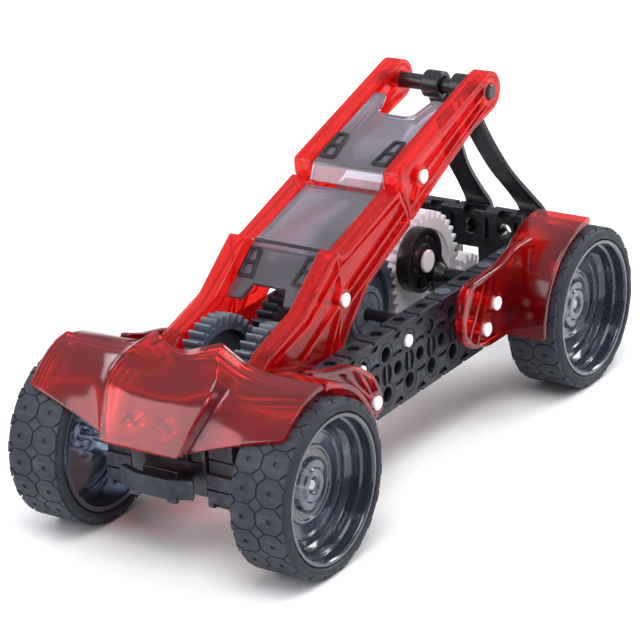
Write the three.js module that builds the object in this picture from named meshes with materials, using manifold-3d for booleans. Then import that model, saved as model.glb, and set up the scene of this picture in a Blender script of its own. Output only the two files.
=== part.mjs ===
// Geared toy racer: a hole-lattice chassis of two side beams, an open gear train between them,
// four deep-dish wheels, translucent body panels and a raked spine of rails with a clear canopy.
// Millimetres, +Z up, the nose points along -Y, the origin is on the ground under the middle.
import * as THREE from 'three';
import { mergeVertices } from 'three/addons/utils/BufferGeometryUtils.js';
import Module from 'manifold-3d';

const wasm = await Module();
wasm.setup();

// ---- driving dimensions -------------------------------------------------------------------
const PITCH = 12.7;                    // spacing of the lattice holes
const HALF = PITCH / 2;
const GAP = 0.3;                       // clearance between touching pieces
const WHEELBASE = 12 * PITCH;
const WHEEL_R = 25.8;
const TYRE_IN = 29;                    // inner and outer side of a tyre, from the middle plane
const TYRE_OUT = 48;
const RIM_R = 21.7;
const AXLE_Z = WHEEL_R;                // lower hole row
const SHAFT_Z = AXLE_Z + PITCH;        // upper hole row, which carries the gear shafts
const BEAM_OUT = 2 * PITCH;            // side beams, from the middle plane
const BEAM_IN = 1.5 * PITCH;
const BEAM_LOW = AXLE_Z - HALF + 0.2;
const BEAM_HIGH = SHAFT_Z + HALF - 0.2;
const HOLES = 13;                      // holes in each row of a side beam
const HOLE_R = 2.35;
const SHAFT_R = 1.85;
const BORE_R = SHAFT_R + 0.35;
const RAIL_OUT = BEAM_IN;              // raked rails, from the middle plane
const RAIL_IN = PITCH + 0.1;
const BRACKET_OUT = 33.5;              // outer face of the red brackets on the beams
const ARCH_IN = 27.7;                  // wheel arches, radius from the axle
const ARCH_OUT = 29.6;
const GEAR_MODULE = PITCH / 12;
const LANE = [-4.4, 1.0];              // where the middle gear train runs, across the car
const OUTER_LANE = [6.3, 11.8];        // the two big front gears
const PANEL = 1.5;                     // canopy and strip thickness
const PIN_R = 1.7;
const PIN_HEAD_R = 2.4;
const TOP_SHAFT = [139.2, 97.3];       // shaft at the top of the rails, as y, z
const TOP_SHAFT_R = 2.5;

// Lengthwise places are counted from the front axle; the whole car is centred at the end.
const REAR_AXLE_Y = WHEELBASE;

const COLOURS = {
  red: [0xc8281e, 0.25, 0],
  black: [0x26272c, 0.5, 0],
  slate: [0x50555f, 0.5, 0],
  grey: [0x75808c, 0.5, 0],
  white: [0xe6e6ea, 0.4, 0],
  smoke: [0x9a95a0, 0.2, 0],
  rubber: [0x33353c, 0.85, 0],
  rim: [0x8d959a, 0.15, 0],
  steel: [0x9a9ca0, 0.35, 0.8],
};

// ---- solids -------------------------------------------------------------------------------
function signedVolume(geometry) {
  const p = geometry.attributes.position;
  const index = geometry.index;
  const a = new THREE.Vector3();
  const b = new THREE.Vector3();
  const c = new THREE.Vector3();
  let sum = 0;
  for (let i = 0; i < index.count; i += 3) {
    a.fromBufferAttribute(p, index.getX(i));
    b.fromBufferAttribute(p, index.getX(i + 1));
    c.fromBufferAttribute(p, index.getX(i + 2));
    sum += a.dot(b.cross(c));
  }
  return sum;
}

// Welds a geometry's shared vertices and turns its faces outwards.
function welded(geometry) {
  const bare = geometry.clone();
  bare.deleteAttribute('normal');
  bare.deleteAttribute('uv');
  const merged = mergeVertices(bare, 1e-4);
  if (signedVolume(merged) < 0) {
    const turned = Array.from(merged.index.array);
    for (let i = 0; i < turned.length; i += 3) {
      [turned[i + 1], turned[i + 2]] = [turned[i + 2], turned[i + 1]];
    }
    merged.setIndex(turned);
  }
  return merged;
}

function solidOf(geometry) {
  const merged = welded(geometry);
  return new wasm.Manifold(new wasm.Mesh({
    numProp: 3,
    vertProperties: new Float32Array(merged.attributes.position.array),
    triVerts: new Uint32Array(merged.index.array),
  }));
}

function geometryOf(solid) {
  const mesh = solid.getMesh();
  const geometry = new THREE.BufferGeometry();
  geometry.setAttribute('position', new THREE.BufferAttribute(new Float32Array(mesh.vertProperties), 3));
  geometry.setIndex(Array.from(mesh.triVerts));
  return geometry;
}

function join(first, ...others) {
  return geometryOf(others.reduce((sum, other) => sum.add(solidOf(other)), solidOf(first)));
}

function cut(body, ...tools) {
  return geometryOf(tools.reduce((left, tool) => left.subtract(solidOf(tool)), solidOf(body)));
}

function mirrored(geometry) {
  return welded(geometry.clone().scale(-1, 1, 1));
}

function box(x, y, z) {
  const solid = new THREE.BoxGeometry(x[1] - x[0], y[1] - y[0], z[1] - z[0]);
  return solid.translate((x[0] + x[1]) / 2, (y[0] + y[1]) / 2, (z[0] + z[1]) / 2);
}

// A round bar across the car, at y and z.
function crossBar(radius, x, y, z, sides = 10) {
  const bar = new THREE.CylinderGeometry(radius, radius, x[1] - x[0], sides);
  return bar.rotateZ(Math.PI / 2).translate((x[0] + x[1]) / 2, y, z);
}

function circle(radius, y, z, sides = 24) {
  const points = [];
  for (let i = 0; i < sides; i += 1) {
    const angle = 2 * Math.PI * (i + 0.5) / sides;
    points.push([y + radius * Math.cos(angle), z + radius * Math.sin(angle)]);
  }
  return points;
}

function arc(radius, y, z, fromDeg, toDeg, steps) {
  const points = [];
  for (let i = 0; i <= steps; i += 1) {
    const angle = THREE.MathUtils.degToRad(fromDeg + (toDeg - fromDeg) * i / steps);
    points.push([y + radius * Math.cos(angle), z + radius * Math.sin(angle)]);
  }
  return points;
}

// A plate that lies in the y-z plane: outline and holes as [y, z], thickness across the car.
function sidePlate(outline, x, holes = []) {
  const shape = new THREE.Shape(outline.map(([y, z]) => new THREE.Vector2(y, z)));
  shape.holes = holes.map((hole) => new THREE.Path(hole.map(([y, z]) => new THREE.Vector2(y, z))));
  const plate = new THREE.ExtrudeGeometry(shape, { depth: x[1] - x[0], bevelEnabled: false });
  const turn = new THREE.Matrix4().makeBasis(
    new THREE.Vector3(0, 1, 0),
    new THREE.Vector3(0, 0, 1),
    new THREE.Vector3(1, 0, 0),
  );
  return plate.applyMatrix4(turn).translate(x[0], 0, 0);
}

// A ring turned about the wheel's axis: profile as closed loop of [radius, x].
function turned(profile, sides) {
  const loop = [...profile, profile[0]].map(([radius, x]) => new THREE.Vector2(radius, x));
  return new THREE.LatheGeometry(loop, sides).rotateZ(-Math.PI / 2);
}

// A closed solid through rings of points that all have the same count.
function loft(rings) {
  const count = rings[0].length;
  const positions = rings.flat().flat();
  const index = [];
  for (let r = 0; r + 1 < rings.length; r += 1) {
    for (let i = 0; i < count; i += 1) {
      const a = r * count + i;
      const b = r * count + (i + 1) % count;
      index.push(a, b, b + count, a, b + count, a + count);
    }
  }
  const last = (rings.length - 1) * count;
  for (let i = 1; i + 1 < count; i += 1) {
    index.push(0, i + 1, i, last, last + i, last + i + 1);
  }
  const geometry = new THREE.BufferGeometry();
  geometry.setAttribute('position', new THREE.Float32BufferAttribute(positions, 3));
  geometry.setIndex(index);
  return geometry;
}

// A skin of even thickness under a grid of points: rows run across, columns run back.
function skin(rows, thickness) {
  const at = (r, c) => new THREE.Vector3(...rows[r][c]);
  const rowCount = rows.length;
  const columnCount = rows[0].length;
  const under = rows.map((row, r) => row.map((point, c) => {
    const along = at(Math.min(r + 1, rowCount - 1), c).sub(at(Math.max(r - 1, 0), c));
    const across = at(r, Math.min(c + 1, columnCount - 1)).sub(at(r, Math.max(c - 1, 0)));
    const normal = across.cross(along).normalize();
    if (normal.z < 0) {
      normal.negate();
    }
    return at(r, c).addScaledVector(normal, -thickness).toArray();
  }));
  const rings = rows.map((row, r) => [...row, ...under[r].slice().reverse()]);
  return loftStrip(rings, columnCount);
}

// As loft, but each end is closed by a strip between the upper and the lower edge.
function loftStrip(rings, columnCount) {
  const geometry = loft(rings);
  const count = rings[0].length;
  const sides = (rings.length - 1) * count * 6;
  const index = Array.from(geometry.index.array).slice(0, sides);
  const last = (rings.length - 1) * count;
  for (let c = 0; c + 1 < columnCount; c += 1) {
    const low = count - 1 - c;
    index.push(c, low, low - 1, c, low - 1, c + 1);
    index.push(last + c, last + low - 1, last + low, last + c, last + c + 1, last + low - 1);
  }
  geometry.setIndex(index);
  return geometry;
}

// ---- the car ------------------------------------------------------------------------------
const racer = new THREE.Group();
const car = new THREE.Group();
car.position.y = -WHEELBASE / 2;
racer.add(car);

function piece(name, geometry, colour) {
  const [color, roughness, metalness] = COLOURS[colour];
  const material = new THREE.MeshStandardMaterial({ color, roughness, metalness });
  const mesh = new THREE.Mesh(welded(geometry), material);
  mesh.name = name;
  car.add(mesh);
}

// A piece that is made for the +X side and mirrored for the other one.
function pair(name, geometry, colour) {
  piece(`${name}_left`, geometry, colour);
  piece(`${name}_right`, mirrored(geometry), colour);
}

const station = (k) => k * PITCH;

// ---- chassis ------------------------------------------------------------------------------
function sideBeam() {
  const chamfer = 1;
  const back = -HALF + HOLES * PITCH;
  const outline = [
    [-HALF, BEAM_LOW + chamfer],
    [-HALF + chamfer, BEAM_LOW],
    [back - chamfer, BEAM_LOW],
    [back, BEAM_LOW + chamfer],
    [back, BEAM_HIGH - chamfer],
    [back - chamfer, BEAM_HIGH],
    [-HALF + chamfer, BEAM_HIGH],
    [-HALF, BEAM_HIGH - chamfer],
  ];
  const holes = [];
  for (let k = 0; k < HOLES; k += 1) {
    holes.push(circle(HOLE_R, station(k), AXLE_Z, 8));
    holes.push(circle(HOLE_R, station(k), SHAFT_Z, 8));
  }
  for (let k = 0; k + 1 < HOLES; k += 1) {
    holes.push(circle(HOLE_R - 0.3, station(k) + HALF, AXLE_Z + HALF, 6));
  }
  return sidePlate(outline, [BEAM_IN, BEAM_OUT], holes);
}

// The wall between the beams behind the rear axle, with finger notches along its top edge and
// room for the rear pinion at the bottom.
function rearWall() {
  const y = [REAR_AXLE_Y + 3.8, REAR_AXLE_Y + 9.6];
  const wall = box([-BEAM_IN + GAP, BEAM_IN - GAP], y, [AXLE_Z + 0.2, AXLE_Z + 2 * PITCH - 0.4]);
  const notch = (x) => box([x - 2.2, x + 2.2], [y[0] - 1, y[0] + 2.4], [AXLE_Z + 23, AXLE_Z + 30]);
  const pinionRoom = box([LANE[0] - 1.6, LANE[1] + 1.6], [y[0] - 1, y[1] + 1], [20, 37.6]);
  return cut(wall, notch(-PITCH), notch(0), notch(PITCH), pinionRoom);
}

const CORNER = { x: [13.2, 22], y: [-12.4, -6.7], z: [18.2, 38.8] };
const HOOD_POST_Z = 50;

function cornerBlock() {
  const groove = box([CORNER.x[0] - 1, CORNER.x[1] + 1], [-14, -11.4], [27.9, 28.9]);
  return cut(box(CORNER.x, CORNER.y, CORNER.z), groove);
}

function frontCrossMember() {
  const half = CORNER.x[0] - GAP;
  const bar = box([-half, half], [-12.2, -6.9], [21, 37]);
  const nose = box([-6, 6], [-16.2, -12], [24, 29]);
  const post = (x) => box([x - 2.5, x + 2.5], [-12.2, -7.2], [36, HOOD_POST_Z]);
  return join(bar, nose, post(-7), post(7));
}

function frontBumper() {
  const half = [[0, -18.6], [5, -18.6], [13.6, -16.8], [13.6, -19], [5, -21], [0, -21]];
  const other = half.slice(1, -1).reverse().map(([x, y]) => [-x, y]);
  const shape = new THREE.Shape([...half, ...other].map(([x, y]) => new THREE.Vector2(x, y)));
  const z = [22.4, 30];
  return new THREE.ExtrudeGeometry(shape, { depth: z[1] - z[0], bevelEnabled: false }).translate(0, 0, z[0]);
}

pair('side_beam', sideBeam(), 'slate');
piece('rear_cross_wall', rearWall(), 'black');
pair('corner_block', cornerBlock(), 'slate');
piece('front_cross_member', frontCrossMember(), 'black');
piece('front_bumper', frontBumper(), 'slate');
for (const [name, k] of [['front', 5.5], ['rear', 8.5]]) {
  piece(`${name}_spacer`, crossBar(2, [-BEAM_IN + GAP, BEAM_IN - GAP], station(k), 23.6), 'black');
}

// ---- body panels --------------------------------------------------------------------------
// The nose cowl: one skin over the hood and both front wheels. Each row is a line across half
// the car, from the middle out, and the other half is its mirror image.
function noseCowl() {
  const half = [
    [[0, -25.6, 38.6], [9, -25.6, 38.6], [13.4, -25.6, 38.8], [22, -21.5, 41.6], [33, -20.6, 45], [44, -18.6, 47.2]],
    [[0, -24.2, 46], [9, -24.0, 46], [13.4, -22, 46.5], [22, -17.5, 47.4], [33, -15.8, 50], [44, -12.8, 51.6]],
    [[0, -14, 52.6], [9, -13.8, 52.8], [13, -12, 54.2], [22, -10.5, 53.2], [33, -8.6, 53.4], [44, -7, 54.4]],
    [[0, -7, 57.4], [9, -6, 58.6], [13, -5, 57.4], [22, -4, 56], [33, -3, 55.6], [44, -2, 56]],
    [[0, -2.4, 60.2], [7.5, -2, 60.6], [12, 2.2, 59], [22, 2.6, 57.2], [33, 2.4, 56.6], [44, 1.6, 56]],
  ];
  const rows = half.map((row) => {
    const other = row.slice(1).reverse().map(([x, y, z]) => [-x, y, z]);
    return [...other, ...row];
  });
  return skin(rows, 1.6);
}

// A wheel arch: a band over part of the tyre, and the plate that pins it to the side beam.
function archPiece(axleY, sweep, outline, reach, pins) {
  const [from, to] = sweep;
  const band = [
    ...arc(ARCH_OUT, axleY, AXLE_Z, from, to, 12),
    ...arc(ARCH_IN, axleY, AXLE_Z, to, from, 12),
  ];
  const plate = sidePlate(outline, [BEAM_OUT + GAP, BRACKET_OUT], pins.map(([y, z]) => circle(PIN_R + GAP, y, z, 10)));
  const wheelRoom = crossBar(ARCH_IN, [0, 60], axleY, AXLE_Z, 48);
  return join(cut(plate, wheelRoom), sidePlate(band, [BEAM_OUT + GAP + 0.6, reach]));
}

const FRONT_PINS = [[3.5 * PITCH, AXLE_Z + HALF]];
const REAR_PINS = [[station(9), SHAFT_Z], [station(8.5), AXLE_Z + HALF]];

const frontArch = archPiece(0, [4, 82], [
  [12, 54], [22, 50.5], [34.4, 47.8], [44.5, 41], [49, 33.4], [48.4, 28.4], [44, 26.6], [28.6, 26.6],
  [20, 30],
], 44, FRONT_PINS);
const rearArch = archPiece(REAR_AXLE_Y, [87, 182], [
  [91.6, 40.6], [94.4, 46.8], [98, 49.4], [118, 49.4], [128, 52], [140, 52], [140, 30], [126, 25.4],
  [110, 25.6], [98, 28.4], [92.4, 33],
], 45.5, REAR_PINS);

piece('nose_cowl', noseCowl(), 'red');
pair('front_arch', frontArch, 'red');
pair('rear_fender', rearArch, 'red');

// ---- raked rails --------------------------------------------------------------------------
// Side view of one whole rail. It is made in two lengths that overlap at the step: the lower one
// keeps a tongue on its inner half, and the upper one laps over it and is pinned to it.
const STEP_Y = 85.5;
const LAP_Y = 104;
const MID_X = (RAIL_IN + RAIL_OUT) / 2;
const LOWER_PIN = [52, 59];
const UPPER_PIN = [97.4, 82.8];

function railHoles(list) {
  return list.map(([y, z]) => circle(PIN_R + GAP, y, z, 10));
}

function lowerRail() {
  const body = sidePlate([
    [8.8, 51.4], [15, 48.9], [27.5, 45.6], [34, 43.6], [35, 36], [44.6, 36], [52, 45.8], [65, 58.6],
    [STEP_Y + 5, 69.8], [STEP_Y + 3.6, 74], [STEP_Y - 0.8, 82.3], [55, 72.6], [52.5, 72.4],
    [50.2, 74.6], [33, 61.4], [14, 55.6],
  ], [RAIL_IN, RAIL_OUT], railHoles([LOWER_PIN]));
  const tongue = sidePlate([
    [STEP_Y - 2, 70], [STEP_Y + 5, 70], [LAP_Y, 78.2], [LAP_Y - 3, 87.4], [STEP_Y - 2, 81],
  ], [RAIL_IN, MID_X - GAP / 2], railHoles([UPPER_PIN]));
  return join(body, tongue);
}

function upperRail() {
  const [shaftY, shaftZ] = TOP_SHAFT;
  const full = sidePlate([
    [LAP_Y - 2.6, 92.4], [LAP_Y + GAP + 0.2, 77.2], [128.5, 88], [141.2, 91.2],
    ...arc(6.4, shaftY, shaftZ, -60, 108, 10),
  ], [RAIL_IN, RAIL_OUT], [circle(TOP_SHAFT_R + 0.4, shaftY, shaftZ, 12)]);
  const lap = sidePlate([
    [STEP_Y + 5.4, 70.4], [LAP_Y + 2, 78.2], [LAP_Y + 2, 93.8], [STEP_Y, 87.1], [STEP_Y, 82.6],
    [STEP_Y + 4, 74.4],
  ], [MID_X + GAP / 2, RAIL_OUT], railHoles([UPPER_PIN]));
  const room = sidePlate([
    [STEP_Y - 3, 68], [STEP_Y + 5, 68], [LAP_Y + GAP, 76.6], [LAP_Y + GAP - 3.2, 87.9],
    [STEP_Y - 3, 81.8],
  ], [RAIL_IN - 1, MID_X]);
  const top = sidePlate([
    [STEP_Y, 87.1], [STEP_Y, 83.4], [LAP_Y - 1, 89], [LAP_Y + 2, 93.8],
  ], [RAIL_IN, RAIL_OUT]);
  return join(cut(join(full, top), room), lap);
}

pair('lower_rail', lowerRail(), 'red');
pair('upper_rail', upperRail(), 'red');

// ---- canopy -------------------------------------------------------------------------------
const CANOPY_HALF = RAIL_IN - GAP;

// A flat clear panel between the rails that follows a line in side view.
function canopyPanel(line, lower, notch) {
  const [start, end] = line;
  const ring = (x) => [
    [x, start[0], start[1]], [x, end[0], end[1]],
    [x, end[0], end[1] - lower], [x, start[0], start[1] - lower],
  ];
  const panel = loft([ring(-CANOPY_HALF), ring(CANOPY_HALF)]);
  return notch ? cut(panel, notch) : panel;
}

const ROOF_LINE = [[STEP_Y + 0.6, 86.2], [122, 98]];
const BROW = [53, 72];
const roof = canopyPanel(ROOF_LINE, PANEL, box([-7, 7], [113, 130], [80, 110]));
const windscreen = join(
  canopyPanel([[37.6, 60.2], BROW], PANEL, box([-6, 6], [30, 42], [50, 80])),
  canopyPanel([[BROW[0] - 0.6, BROW[1] - 0.2], [STEP_Y - 2, 81]], PANEL),
);
piece('roof_panel', roof, 'smoke');
piece('windscreen_panel', windscreen, 'smoke');

// ---- top shaft and struts -----------------------------------------------------------------
const [SHAFT_Y, SHAFT_TOP_Z] = TOP_SHAFT;
piece('top_shaft', crossBar(TOP_SHAFT_R, [-RAIL_OUT - 0.8, RAIL_OUT + 0.8], SHAFT_Y, SHAFT_TOP_Z, 12), 'black');

// A curved blade from a collar on the top shaft down to a foot behind the rear wall.
function strut(collar, foot) {
  const line = new THREE.CatmullRomCurve3([
    [0, 141, 93.6], [0.05, 145.6, 83], [0.5, 151.6, 69], [0.85, 160, 57.5], [1, 165.2, 50],
    [1, 165.8, 41.5],
  ].map(([share, y, z]) => new THREE.Vector3(THREE.MathUtils.lerp(collar, foot, share), y, z)));
  const steps = 9;
  const rings = [];
  for (let i = 0; i <= steps; i += 1) {
    const t = i / steps;
    const at = line.getPoint(t);
    const down = line.getTangent(t);
    const out = new THREE.Vector3(0, down.z, -down.y).normalize().multiplyScalar(1.5);
    const halfWidth = t < 0.5 ? THREE.MathUtils.lerp(3.1, 2.5, t * 2) : THREE.MathUtils.lerp(2.5, 5.4, t * 2 - 1);
    const corner = (sx, so) => [at.x + sx * halfWidth, at.y + so * out.y, at.z + so * out.z];
    rings.push([corner(-1, -1), corner(1, -1), corner(1, 1), corner(-1, 1)]);
  }
  const hub = crossBar(4.4, [collar - 3.1, collar + 3.1], SHAFT_Y, SHAFT_TOP_Z, 14);
  const bore = crossBar(TOP_SHAFT_R + 0.4, [collar - 9, collar + 9], SHAFT_Y, SHAFT_TOP_Z, 12);
  return cut(join(loft(rings), hub), bore);
}

piece('strut_centre', strut(-0.7, -1.5), 'black');
piece('strut_side', strut(9.4, 18.4), 'black');

// ---- pins ---------------------------------------------------------------------------------
// A push pin from the outside: a flat head on the outer face and a shank into the hole.
function pushPin(face, depth, [y, z]) {
  const head = crossBar(PIN_HEAD_R, [face + GAP, face + GAP + 0.9], y, z, 14);
  const shank = crossBar(PIN_R, [face - depth, face + GAP + 0.2], y, z, 10);
  return join(head, shank);
}

pair('rail_pin_lower', pushPin(RAIL_OUT, RAIL_OUT - RAIL_IN - 0.4, LOWER_PIN), 'white');
pair('rail_pin_upper', pushPin(RAIL_OUT, RAIL_OUT - RAIL_IN - 0.4, UPPER_PIN), 'white');
pair('front_arch_pin', pushPin(BRACKET_OUT, 12.6, FRONT_PINS[0]), 'white');
pair('fender_pin_upper', pushPin(BRACKET_OUT, 12.6, REAR_PINS[0]), 'white');
pair('fender_pin_lower', pushPin(BRACKET_OUT, 12.6, REAR_PINS[1]), 'white');

// ---- gears --------------------------------------------------------------------------------
// Gear outline as [y, z] about its own centre; phase is the direction of one tooth, in degrees.
function gearOutline(teeth, phase) {
  const pitchR = teeth * GEAR_MODULE / 2;
  const tip = pitchR + 0.85 * GEAR_MODULE;
  const root = pitchR - 1.25 * GEAR_MODULE;
  const toothAngle = 2 * Math.PI / teeth;
  const points = [];
  for (let i = 0; i < teeth; i += 1) {
    const middle = THREE.MathUtils.degToRad(phase) + i * toothAngle;
    for (const [radius, share] of [[root, -0.28], [tip, -0.11], [tip, 0.11], [root, 0.28]]) {
      const angle = middle + share * toothAngle;
      points.push([radius * Math.cos(angle), radius * Math.sin(angle)]);
    }
  }
  return points;
}

function gear(teeth, phase, [y, z], x) {
  const outline = gearOutline(teeth, phase).map(([u, v]) => [y + u, z + v]);
  return sidePlate(outline, x, [circle(BORE_R, y, z, 8)]);
}

// The phase of gear B that meshes with gear A, where B lies in a direction from A (degrees).
function meshPhase(phaseA, teethA, teethB, direction) {
  const offset = teethA * (phaseA - direction) / 360 + 0.5;
  return direction + 180 - 360 / teethB * offset;
}

const BIG = 36;                        // teeth
const SMALL = 12;
const REAR_PINION = 18;
const FLY = [station(2), SHAFT_Z];     // gear shaft places, as y, z
const SECOND = [station(4), SHAFT_Z];
const THIRD = [station(7), SHAFT_Z];
const FOURTH = [station(10), SHAFT_Z];
const REAR = [REAR_AXLE_Y, AXLE_Z];

const secondPhase = 0;
const flyPhase = meshPhase(secondPhase, BIG, SMALL, 180);
const thirdPhase = meshPhase(secondPhase, BIG, BIG, 0);
const fourthPhase = meshPhase(thirdPhase, BIG, BIG, 0);
const rearDirection = THREE.MathUtils.radToDeg(Math.atan2(REAR[1] - FOURTH[1], REAR[0] - FOURTH[0]));
const rearPhase = meshPhase(fourthPhase, BIG, REAR_PINION, rearDirection);

const shaft = ([y, z]) => crossBar(SHAFT_R, [-BEAM_OUT + 0.5, BEAM_OUT - 0.5], y, z, 8);

piece('front_gear_shaft', shaft(FLY), 'black');
piece('front_pinion', gear(SMALL, flyPhase, FLY, LANE), 'grey');
piece('front_gear_left', gear(BIG, 5, FLY, OUTER_LANE), 'grey');
piece('front_gear_right', gear(BIG, 5, FLY, [-OUTER_LANE[1], -OUTER_LANE[0]]), 'grey');
piece('second_gear_shaft', shaft(SECOND), 'black');
piece('second_gear', gear(BIG, secondPhase, SECOND, LANE), 'slate');
piece('third_gear_shaft', shaft(THIRD), 'black');
const thirdBoss = cut(crossBar(8.8, [LANE[1] - 0.5, LANE[1] + 2], ...THIRD, 20), crossBar(BORE_R, [-9, 9], ...THIRD, 8));
piece('third_gear', join(gear(BIG, thirdPhase, THIRD, LANE), thirdBoss), 'grey');
piece('fourth_gear_shaft', shaft(FOURTH), 'black');
piece('fourth_gear', gear(BIG, fourthPhase, FOURTH, LANE), 'white');
piece('rear_pinion', gear(REAR_PINION, rearPhase, REAR, LANE), 'white');

// The bearing bracket beside the fourth gear: a drum with a web down to the shaft, and a long
// boss that carries the shaft as far as the side beam.
const DRUM = { at: [118.4, 46.5], r: 10.4, x: [1.6, 6] };
function gearBracket() {
  const [y, z] = DRUM.at;
  const drum = crossBar(DRUM.r, DRUM.x, y, z, 28);
  const web = sidePlate([
    [y + 2, z + 8], [FOURTH[0] + 5.5, FOURTH[1] + 1], [FOURTH[0] + 3, FOURTH[1] - 5],
    [FOURTH[0] - 4, FOURTH[1] - 5], [y - 3, z - 8],
  ], DRUM.x);
  const boss = crossBar(4.6, [DRUM.x[0], BEAM_IN - GAP], ...FOURTH, 16);
  const bore = crossBar(BORE_R, [0, 30], ...FOURTH, 10);
  return cut(join(drum, web, boss), bore);
}
piece('gear_bracket', gearBracket(), 'black');
piece('bracket_cap', crossBar(3.6, [DRUM.x[1] + GAP, DRUM.x[1] + GAP + 1.2], ...DRUM.at, 20), 'white');

// ---- wheels -------------------------------------------------------------------------------
// A tyre's facets are flat on the ground, so that the flats and not the corners lie at WHEEL_R.
const TYRE_SIDES = 32;
function tyre() {
  const toCorner = 1 / Math.cos(Math.PI / TYRE_SIDES);
  const profile = [
    [22, TYRE_IN + 0.6], [23.4, TYRE_IN], [25, TYRE_IN + 0.8], [WHEEL_R, TYRE_IN + 2.4],
    [WHEEL_R, TYRE_OUT - 2.4], [25, TYRE_OUT - 0.8], [23.4, TYRE_OUT], [22, TYRE_OUT - 0.6],
  ];
  const ring = turned(profile.map(([radius, x]) => [radius * toCorner, x]), TYRE_SIDES);
  return ring.rotateX(Math.PI / TYRE_SIDES);
}

function rim() {
  return turned([
    [BORE_R, TYRE_IN + 0.4], [5.4, TYRE_IN + 0.4], [5.4, 37.4], [20.3, 37.4],
    [20.3, TYRE_IN + 0.4], [RIM_R, TYRE_IN + 0.4], [RIM_R, TYRE_OUT - 0.4],
    [20.5, TYRE_OUT - 0.4], [20.3, 39], [6, 39], [4.6, 40.6], [BORE_R, 40.6],
  ], 28);
}

const wheels = [['front', 0], ['rear', REAR_AXLE_Y]];
for (const [name, y] of wheels) {
  piece(`${name}_axle`, crossBar(SHAFT_R, [-40.2, 40.2], y, AXLE_Z, 10), 'steel');
  pair(`${name}_tyre`, tyre().translate(0, y, AXLE_Z), 'rubber');
  pair(`${name}_rim`, rim().translate(0, y, AXLE_Z), 'rim');
}

export default racer;
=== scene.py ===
import math

import bmesh
import bpy
from mathutils import Matrix, Vector


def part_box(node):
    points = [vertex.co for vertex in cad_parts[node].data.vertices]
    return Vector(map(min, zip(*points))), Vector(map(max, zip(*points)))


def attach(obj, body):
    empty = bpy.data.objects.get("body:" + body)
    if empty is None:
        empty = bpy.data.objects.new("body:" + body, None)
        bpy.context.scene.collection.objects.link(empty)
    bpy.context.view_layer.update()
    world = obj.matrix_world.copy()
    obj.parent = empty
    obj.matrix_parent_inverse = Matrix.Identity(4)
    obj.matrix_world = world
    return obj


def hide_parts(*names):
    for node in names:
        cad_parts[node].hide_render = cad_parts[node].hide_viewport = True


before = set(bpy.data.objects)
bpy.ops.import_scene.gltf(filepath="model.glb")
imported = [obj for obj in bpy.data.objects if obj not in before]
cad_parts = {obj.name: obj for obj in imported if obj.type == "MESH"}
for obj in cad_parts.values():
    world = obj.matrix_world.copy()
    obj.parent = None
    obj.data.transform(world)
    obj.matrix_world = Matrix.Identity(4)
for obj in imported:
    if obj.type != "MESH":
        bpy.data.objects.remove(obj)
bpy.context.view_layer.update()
MM = 0.001


def cad_span(node, axis):
    """Where a CAD node starts and ends along one axis, in millimetres."""
    low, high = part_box(node)
    return low[axis] / MM, high[axis] / MM


def cad_middle(node, axis):
    return sum(cad_span(node, axis)) / 2


def side_place(node):
    """The middle of a CAD node in side view, as (y, z)."""
    return cad_middle(node, Y) - FRONT_Y, cad_middle(node, Z)


# ---- driving dimensions, from the frame ----
X, Y, Z = range(3)
FRONT_Y = cad_middle("front_axle", Y)  # the front axle's y in the frame
WHEELBASE = cad_middle("rear_axle", Y) - FRONT_Y
PITCH = WHEELBASE / 12  # from one lattice hole to the next
HALF = PITCH / 2
MODULE = PITCH / 12  # gear diameter for each tooth
AXLE_Z = cad_middle("front_axle", Z)  # lower hole row
SHAFT_Z = AXLE_Z + PITCH  # upper hole row
MID_Z = AXLE_Z + HALF
WHEEL_R = AXLE_Z
STATIONS = range(13)  # holes of a row, from axle to axle
CELLS = [(k + 0.5) * PITCH for k in range(12)]  # halfway between two holes
BEAM = cad_span("side_beam_left", X)
BEAM_X = sum(BEAM) / 2
BEAM_Z = cad_span("side_beam_left", Z)
RAIL = cad_span("lower_rail_left", X)
TYRE = cad_span("front_tyre_left", X)
LANE = cad_span("fourth_gear", X)  # where the gears in the middle run
OUTER_LANE = cad_span("front_gear_left", X)
TOP_SHAFT = side_place("top_shaft")
GAP = 0.3  # play between neighbouring parts
HOLE_R = 2.35
PIN_R = 1.7
PIN_HEAD = 1.2  # how far a push pin stands out
BRACKET = (BEAM[1] + GAP, cad_span("front_arch_pin_left", X)[1] - PIN_HEAD)
CORE = 0.01  # how near a turned solid comes to its axis
CHASSIS = "chassis"


# ---- spans and outlines ----
def about(middle, half):
    return middle - half, middle + half


def into(face, deep):
    """Span of a tool that cuts into a face: upwards from a low face, or with a negative depth
    downwards from a high one."""
    return (face - 1, face + deep) if deep > 0 else (face + deep, face + 1)


def rectangle(u, v):
    return [(u[0], v[0]), (u[1], v[0]), (u[1], v[1]), (u[0], v[1])]


def ring_points(radius, u, v, count=32, start=0.0, sweep=360.0):
    """Points round a centre; a part sweep includes both of its ends."""
    share = count if sweep == 360 else count - 1
    angles = [math.radians(start + sweep * i / share) for i in range(count)]
    return [(u + radius * math.cos(a), v + radius * math.sin(a)) for a in angles]


def neighbours(loop):
    """Each point of a closed outline as a vector, between the one before and the one after."""
    points = [Vector(point) for point in loop]
    return zip(points[-1:] + points[:-1], points, points[1:] + points[:1])


def soften(loop, radius, steps=3):
    """A closed outline with each corner turned into a short curve."""
    out = []
    most = 0.45  # of a side's length, for each of its corners
    for before, at, after in neighbours(loop):
        start = at + (before - at).normalized() * min(radius, (before - at).length * most)
        end = at + (after - at).normalized() * min(radius, (after - at).length * most)
        for i in range(steps + 1):
            t = i / steps
            out.append(tuple(start * (1 - t) ** 2 + at * (2 * t * (1 - t)) + end * t * t))
    return out


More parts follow.
